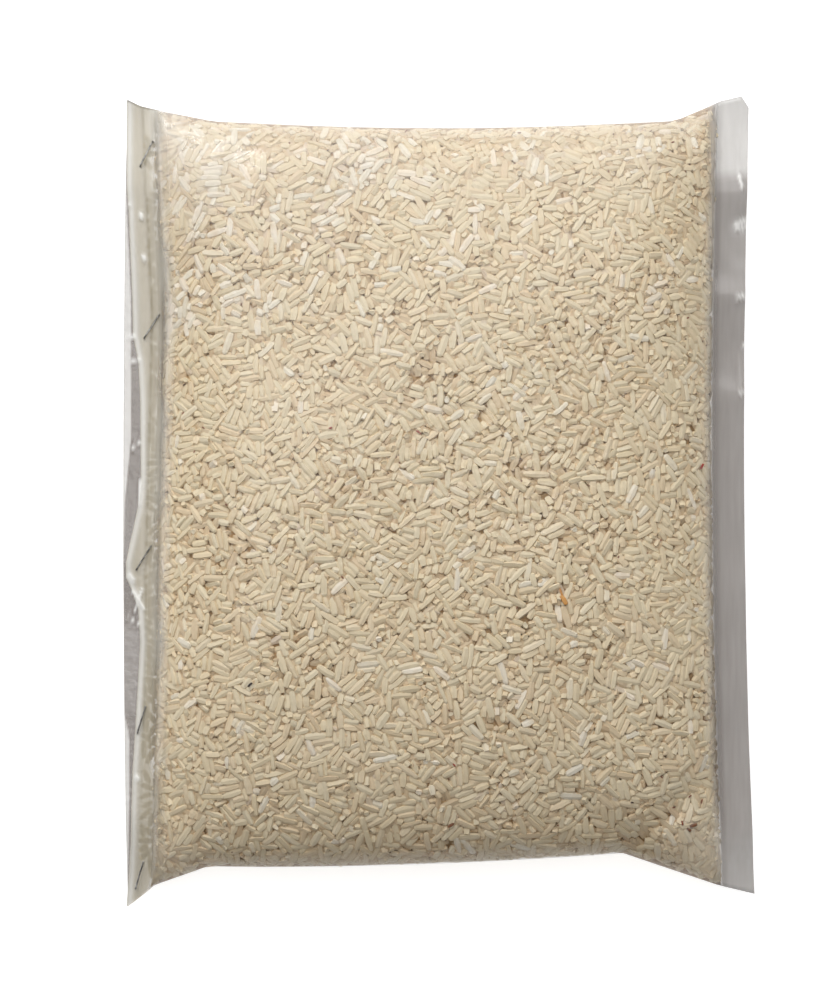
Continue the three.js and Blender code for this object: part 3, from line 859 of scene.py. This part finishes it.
def make_film(material):
    """The film tube as one closed skin over the rice, the heat seal and the hem."""
    strip = np.linspace(0, 1, STRIP_COLUMNS + 1)
    columns = np.concatenate([strip[:-1], arch_steps(FILM_PITCH), 2 + strip[1:]])
    rows_top, rows_base = round(FILM_LENGTH / FILM_PITCH), round(FILM_LENGTH / FILM_BASE_PITCH)
    ring = ring_grid(columns, rows_top, rows_base)
    points = ring.reshape(-1, 3)
    x, y = points[:, :2].T
    ridge_and_painted_glint = glints(x, y)
    upper = (np.arange(len(points)) % ring.shape[1]) <= rows_top
    points[:, 2] += GLINT_RISE * ridge_and_painted_glint * upper
    count, rows = ring.shape[:2]
    faces = tube_faces(count, rows)
    for first in (0, (count - 1) * rows):
        # The finer upper edge is sewn to the coarser lower one.
        over = first + np.arange(rows_top + 1)
        under = first + rows_top + 1 + np.arange(rows_base + 1)[::-1]
        i = j = 0
        while i < rows_top or j < rows_base:
            if j == rows_base or (i < rows_top and i / rows_top <= j / rows_base):
                face = (over[i], over[i + 1], under[j])
                i += 1
            else:
                face = (over[i], under[j + 1], under[j])
                j += 1
            faces.append(tuple(int(k) for k in (face if first == 0 else face[::-1])))
    film = new_object("film", points, faces)
    skin = BVHTree.FromPolygons(points.tolist(), faces)

    u, v = place_on_bag(x, y)
    hem, seal = hem_line(y), seal_line(y)
    inner, flap = line_at(INNER_FOLD, y), line_at(FLAP_EDGE, y)
    on_seal = ease(x, seal - 0.5, seal + 0.3)
    on_hem = ease(-x, -hem - 0.3, 0.5 - hem)
    under_flap = on_hem * ease(x, flap + 0.3, flap + 1.0)
    corner = lump(np.hypot(x + 93, y - 116), 11)
    near_seal = ease(x, seal - 4, seal) * (1 - on_seal) * (1 - 0.6 * ease(-y, 88, 104))
    near_hem = ease(-x, -hem - 6, -hem) * (1 - on_hem)
    # Painted glare: the film towards the upper left is milkier and lighter. The milk added along the upper
    # rim and edge and at the glare spots carries painted highlights; that added along the lower rim and
    # towards the bottom carries painted shade.
    glare = lump(np.hypot(x + 78, y - 103), 20)
    haze = 0.14 * ease(v, 0.93, 0.99) + 0.14 * ease(-v, 0.9, 0.99) + 0.1 * glare + 0.08 * ease(y, 80, 110)
    haze += 0.12 * painted_glare_share(x, y) + 0.05 * ease(-y, 20, 110)
    # Painted light: the film at the two low ears is milkier and lighter, against the shade of their creases.
    painted_light_at_low_ears = lump(np.hypot(x - 84, y + 108), 13) + 0.6 * lump(np.hypot(x + 84, y + 110), 10)
    haze += 0.14 * painted_light_at_low_ears
    milk = np.minimum(0.05 + haze + 0.12 * near_hem, CLEAR_HAZE) * (1 - on_seal) * (1 - on_hem)
    milk += 0.62 * on_seal + 0.62 * on_hem - 0.4 * under_flap
    milk += 0.45 * near_seal + 0.3 * corner * (1 - on_hem)
    folded_in = ease(-x, -inner - 0.25, 0.25 - inner)
    # On the hem the milk is painted dark grey for the shadowed gap seen through it; it is lighter where the
    # layer folded in under it lies, in a band low down, at the top, and under the flap by the crease.
    hem_tone_and_painted_shade = 0.06 + 0.74 * folded_in + 0.12 * ease(-y, 37, 40) * ease(y, -68, -64)
    hem_tone_and_painted_shade += 0.25 * ease(y, 92, 100) * (1 - folded_in)
    hem_tone_and_painted_shade += 0.6 * ease(x, hem - 4, hem - 1.5) * (1 - 0.5 * ease(-y, 30, 70))
    # On the seal the milk is painted dark grey for the shade seen through it, darker still along its inner
    # edge; painted light makes its upper and lower ends lighter, and two soft painted highlights lie across
    # its ripples near the top.
    seal_painted_light_and_shade = 0.22 - 0.14 * ease(-x, -seal - 2.5, -seal - 0.8)
    seal_painted_light_and_shade += 0.52 * ease(y, 99, 104) + 0.04 * ease(y, 60, 80) + 0.2 * ease(-y, 96, 114)
    seal_painted_light_and_shade += (0.35 * lump(y - 85, 2.2) + 0.14 * lump(y - 73.5, 2.5)) * ease(x, seal + 3, seal + 8)
    # How light the milk over the rice is: painted light, lighter towards the upper side, its rim, the glare
    # patch and the hem; painted shade, darker at the lower rim away from the ends and towards the bottom; and
    # darker by the seal.
    tone_and_painted_light_over_rice = 0.55 + 0.2 * y / HALF_FLAT_WIDTH + 0.15 * ease(v, 0.85, 0.95)
    tone_and_painted_light_over_rice -= 0.3 * ease(-v, 0.85, 0.95) * ease(-np.abs(x), -80, -60)
    tone_and_painted_light_over_rice += 0.2 * glare + 0.2 * near_hem - 0.28 * near_seal - 0.25 * ease(-y, 20, 110)
    tone_and_painted_light_over_rice += 0.6 * painted_light_at_low_ears
    shade = tone_and_painted_light_over_rice * (1 - on_seal) * (1 - on_hem) + on_seal * seal_painted_light_and_shade + on_hem * hem_tone_and_painted_shade
    # Painted glints: the film on the wrinkles is made lighter and milkier.
    set_values(film, milk=milk + 0.5 * ridge_and_painted_glint, shade=shade + ridge_and_painted_glint, crimp=on_seal + 0.4 * on_hem)
    film.data.materials.append(material)
    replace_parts(place_piece(film), "bag")
    return skin


def make_flap(material):
    """The film folded over at the mouth: a flat sleeve with a round edge, held down by the staples."""
    across = np.linspace(0, 1, 30)
    nose = np.linspace(-90, 90, 7)[1:-1] * math.pi / 180
    rows = np.linspace(0, 1, 300)
    sections = []

    def place(s):
        ends = [line_at(FLAP_EDGE, y) * (1 - s) + (hem_line(y) + FLAP_OVERLAP) * s for y in (-122.0, 122.0)]
        low, high = side_line(BOTTOM_SIDE, ends[0]), side_line(TOP_SIDE, ends[1])
        y = low + (high - low) * rows
        return line_at(FLAP_EDGE, y) * (1 - s) + (hem_line(y) + FLAP_OVERLAP) * s, y

    def rise(x, y):
        # The upper layer bridges the crease where the hem meets the filled part.
        around = np.mean([top_height(x + step, y) for step in (-1.2, -0.6, 0, 0.6, 1.2)], 0)
        bridge = np.maximum(0, around - top_height(x, y))
        return bridge + FLAP_LIFT * (1 - 0.8 * ease(x, hem_line(y) - 1.5, hem_line(y) + FLAP_OVERLAP))

    for s in across[::-1]:
        x, y = place(s)
        sections.append((x + FLAP_NOSE * (1 - s), y, top_height(x, y) + 0.06))
    for angle in nose:
        x, y = place(0.0)
        lift = (math.sin(angle) + 1) / 2 * (FLAP_LIFT - 0.06) + 0.06
        sections.append((x + FLAP_NOSE * (1 - math.cos(angle)), y, top_height(x, y) + lift))
    for s in across:
        x, y = place(s)
        sections.append((x + FLAP_NOSE * (1 - s), y, top_height(x, y) + rise(x, y)))
    loop = np.array(sections).transpose(2, 0, 1)
    upper = np.arange(loop.shape[1]) >= len(across) + 2
    x, y = loop[:, :, 0].ravel(), loop[:, :, 1].ravel()
    ridge_and_painted_glint = glints(x, y)
    points = loop.reshape(-1, 3)
    points[:, 2] += GLINT_RISE * ridge_and_painted_glint * np.tile(upper, len(rows))
    faces = tube_faces(len(rows), loop.shape[1])
    ring = list(range(loop.shape[1]))
    faces += [ring[::-1], [k + (len(rows) - 1) * loop.shape[1] for k in ring]]
    flap = new_object("hem_flap", points, [face[::-1] for face in faces])
    edge = line_at(FLAP_EDGE, y)
    # The flap is milkier along its rolled edge and painted lighter there: a painted highlight.
    rolled_edge_and_painted_highlight = lump(x - edge - 0.9, 1.1)
    wander = 0.9 * np.sin(y / 9) + 0.6 * np.sin(y / 3.7 + 1)
    past = ease(x, hem_line(y) - 2 + wander, hem_line(y) + 3 + wander)
    milk = (0.6 + 0.25 * rolled_edge_and_painted_highlight) * (1 - past)
    # Painted light: the flap's milk is lighter by the crease, less so low down, against the shade of its
    # steep side.
    flap_tone_and_painted_light = 0.28 + 0.4 * ease(x, hem_line(y) - 3, hem_line(y) + 1) * (1 - ease(-y, 30, 70))
    # Painted glints on the flap's wrinkles, as on the film.
    set_values(flap, milk=milk + 0.6 * ridge_and_painted_glint, shade=flap_tone_and_painted_light + 0.6 * rolled_edge_and_painted_highlight + ridge_and_painted_glint, crimp=0.4 - 0.4 * past)
    flap.data.materials.append(material)
    place_piece(flap)


def make_rice(skin):
    """Grains against the film all round, a second layer behind them on top, and the rice inside."""
    ring = ring_grid(arch_steps(BED_PITCH), BED_ROWS, BED_ROWS)
    girth = np.linalg.norm(np.roll(ring, -1, 1) - ring, axis=2).sum(1)
    size = np.array([BED_PITCH * (len(ring) - 1), np.median(girth)])
    mean_area = (1 - BROKEN_SHARE) * WHOLE_AREA + BROKEN_SHARE * BROKEN_AREA
    count = round(COVER * size[0] * size[1] / mean_area)
    broken = rng.random(count) < BROKEN_SHARE
    lengths = np.where(broken, rng.uniform(1.9, 4.9, count), rng.normal(GRAIN[0], 0.6, count))
    widths = np.clip(rng.normal(GRAIN[1] * 0.98, 0.18, count), 1.5, 2.5)
    place, turn = settle_grains(lengths, widths, size)
    beds = []
    for k, depth in enumerate(LAYER_DEPTHS):
        # Every layer lies the same way, but turned round and moved along from the one before.
        moved = (place * (1 - 2 * (k % 2), 1) + (size[0] * (k % 2), size[1] * 0.37 * k)) % size
        turned = turn * (1 - 2 * (k % 2))
        deep = depth + rng.uniform(0, DEPTH_SPREAD, count)
        beds.append(Bed(skin, ring, size, moved, turned, lengths, widths, deep))

    fine, coarse = (-0.97, -0.8, 0.0, 0.8, 0.97), (-0.9, 0.0, 0.9)
    slender = grain_mesh("Slender grain", 7, fine)
    curved = grain_mesh("Curved grain", 7, fine, bend=0.022)
    cracked = grain_mesh("Broken grain", 7, fine, blunt=True)
    plain = grain_mesh("Grain behind", 6, coarse)
    rice = polished_long_grain_rice("Polished long-grain rice", 0.0)
    rice_behind = polished_long_grain_rice("Long-grain rice, second layer", 0.3)
    tree = scatter_tree()
    outer, second = beds
    bent = rng.random(count) < 0.45
    whole, chip = ~broken, lengths < CHIP_LENGTH
    kinds = (
        ("rice_slender", slender, rice, outer, outer.on_top & whole & ~bent),
        ("rice_curved", curved, rice, outer, outer.on_top & whole & bent),
        ("rice_halves", cracked, rice, outer, outer.on_top & broken & ~chip),
        ("rice_chips", cracked, rice, outer, outer.on_top & broken & chip),
        ("rice_second_layer", plain, rice_behind, second, second.on_top & (second.room > SECOND_LAYER_ROOM)),
        ("rice_underneath", plain, rice, outer, ~outer.on_top),
    )
    for name, grain, material, bed, kept in kinds:
        kept = kept & (bed.room > LEAST_ROOM) & (bed.out < MOST_OUT)
        values = (bed.middle[kept], bed.turn[kept], bed.size[kept], bed.tone[kept])
        place_piece(scatter(tree, name, grain, *values, material))

    # A few grains have slipped into the hem, under the flap.
    hem_size = np.array([HEM_GRAINS_WIDTH + 1, HEM_LENGTH])
    few = round(HEM_COVER * hem_size.prod() / mean_area)
    lengths, widths = rng.uniform(3.0, 6.2, few), rng.normal(1.9, 0.1, few)
    place, turn = settle_grains(lengths, widths, hem_size)
    y = place[:, 1] - hem_size[1] / 2
    x = hem_line(y) - HEM_GRAINS_WIDTH + place[:, 0]
    axis = np.stack([np.cos(turn), np.sin(turn), np.zeros(few)], 1)
    side = np.cross([0, 0, 1], axis)
    middle = np.stack([x, y, middle_height(x, y) + HEM_BULGE / 2], 1)
    turns = quaternions(axis, side, np.cross(axis, side))
    sizes = np.stack([lengths, widths, np.full(few, HEM_BULGE)], 1) / GRAIN
    place_piece(scatter(tree, "rice_in_hem", slender, middle, turns, sizes, rng.random(few), rice))

    # Bran and husk: the bits that show in the photograph, and fine bran in the gaps.
    spots = np.array(BITS)
    deep_enough = np.flatnonzero(outer.on_top & (outer.room > FINE_BRAN_ROOM))
    picked = rng.choice(deep_enough, FINE_BRAN, replace=False)
    x = np.concatenate([spots[:, 0], outer.middle[picked, 0] + 1.2])
    y = np.concatenate([spots[:, 1], outer.middle[picked, 1] + 1.1])
    deep = np.concatenate([spots[:, 6], rng.uniform(0.7, 1.2, FINE_BRAN)])
    angle = np.concatenate([np.radians(spots[:, 4]), rng.uniform(0, np.pi, FINE_BRAN)])
    lengths = np.concatenate([spots[:, 2], rng.uniform(0.5, 1.3, FINE_BRAN)])
    widths = np.concatenate([spots[:, 3], rng.uniform(0.25, 0.5, FINE_BRAN)])
    tones = np.concatenate([spots[:, 5], rng.uniform(0.1, 0.42, FINE_BRAN)])
    axis = np.stack([np.cos(angle), np.sin(angle), np.zeros(len(x))], 1)
    side = np.cross([0, 0, 1], axis)
    middle = np.stack([x, y, top_height(x, y) - deep], 1)
    turns = quaternions(axis, side, np.cross(axis, side))
    sizes = np.stack([lengths, widths, widths * 0.8], 1) / GRAIN
    husk = bran_and_husk("Bran and husk")
    place_piece(scatter(tree, "bran_and_husk", cracked, middle, turns, sizes, tones, husk))

    x, y = ring[:, :, 0], ring[:, :, 1]
    depth = np.minimum(CORE_DEPTH, (top_height(x, y) - base_height(x, y)) * 0.3)
    inside = (ring - grid_normals(ring) * depth[:, :, None])[1:-1:2, ::2]
    around = inside.shape[1]
    faces = tube_faces(*inside.shape[:2])
    faces += [list(range(around)), list(range(len(inside) * around - around, len(inside) * around))[::-1]]
    core = new_object("rice_inside", inside.reshape(-1, 3), faces)
    core.data.materials.append(packed_rice_painted_shade("Packed rice"))
    place_piece(core)


def soft_light(name, place, width, power):
    """A square soft box that faces the bag."""
    lamp = bpy.data.lights.new(name, "AREA")
    lamp.shape = "SQUARE"
    lamp.size = width
    lamp.energy = power
    made = bpy.data.objects.new(name, lamp)
    made.location = place
    made.rotation_euler = Vector(place).to_track_quat("Z", "Y").to_euler()
    bpy.context.scene.collection.objects.link(made)


# Camera, straight above and framed as the photograph
view_middle = (PHOTO_SIZE / 2 - BAG_MIDDLE_PIXEL) / PIXELS_PER_MM * (1, -1)
camera = bpy.data.objects.new("Camera", bpy.data.cameras.new("Camera"))
camera.location = (*(view_middle * MM), (SEAM_HEIGHT + CAMERA_HEIGHT) * MM)
camera.data.sensor_width = SENSOR
camera.data.lens = SENSOR * CAMERA_HEIGHT / (PHOTO_SIZE[1] / PIXELS_PER_MM) * CAMERA_ZOOM
bpy.context.scene.collection.objects.link(camera)
bpy.context.scene.camera = camera

# Each film's milk runs from its dark tint, which carries the painted shade, to its light tint, which carries
# the painted light.
skin = make_film(clear_polyethylene_film("LDPE film", "#6a5a4e", "#f6f4f1", 0.3, 0.12))
make_flap(clear_polyethylene_film("Folded LDPE film", "#b3a583", "#f2f0ea", 0.1, 0.15))
make_rice(skin)

wire = galvanised_steel_wire("Galvanised steel wire")
for name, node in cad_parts.items():
    if name.startswith("staple"):
        node.data.materials.clear()
        node.data.materials.append(wire)

bpy.ops.mesh.primitive_plane_add(size=6, location=(0, 0, -0.0002))
floor = bpy.context.object
floor.name = "floor"
floor.data.materials.append(white_table("White table"))

soft_light("Ceiling and window", (-0.34, 1.44, 1.9), 3.4, 78)
soft_light("Low window", (-0.6, 1.25, 0.8), 0.3, 2.6)
world = bpy.data.worlds.new("Room")
bpy.context.scene.world = world
world.use_nodes = True
world.node_tree.nodes["Background"].inputs["Color"].default_value = (1, 0.99, 0.97, 1)
world.node_tree.nodes["Background"].inputs["Strength"].default_value = 0.13
bpy.context.scene.view_settings.view_transform = "Standard"
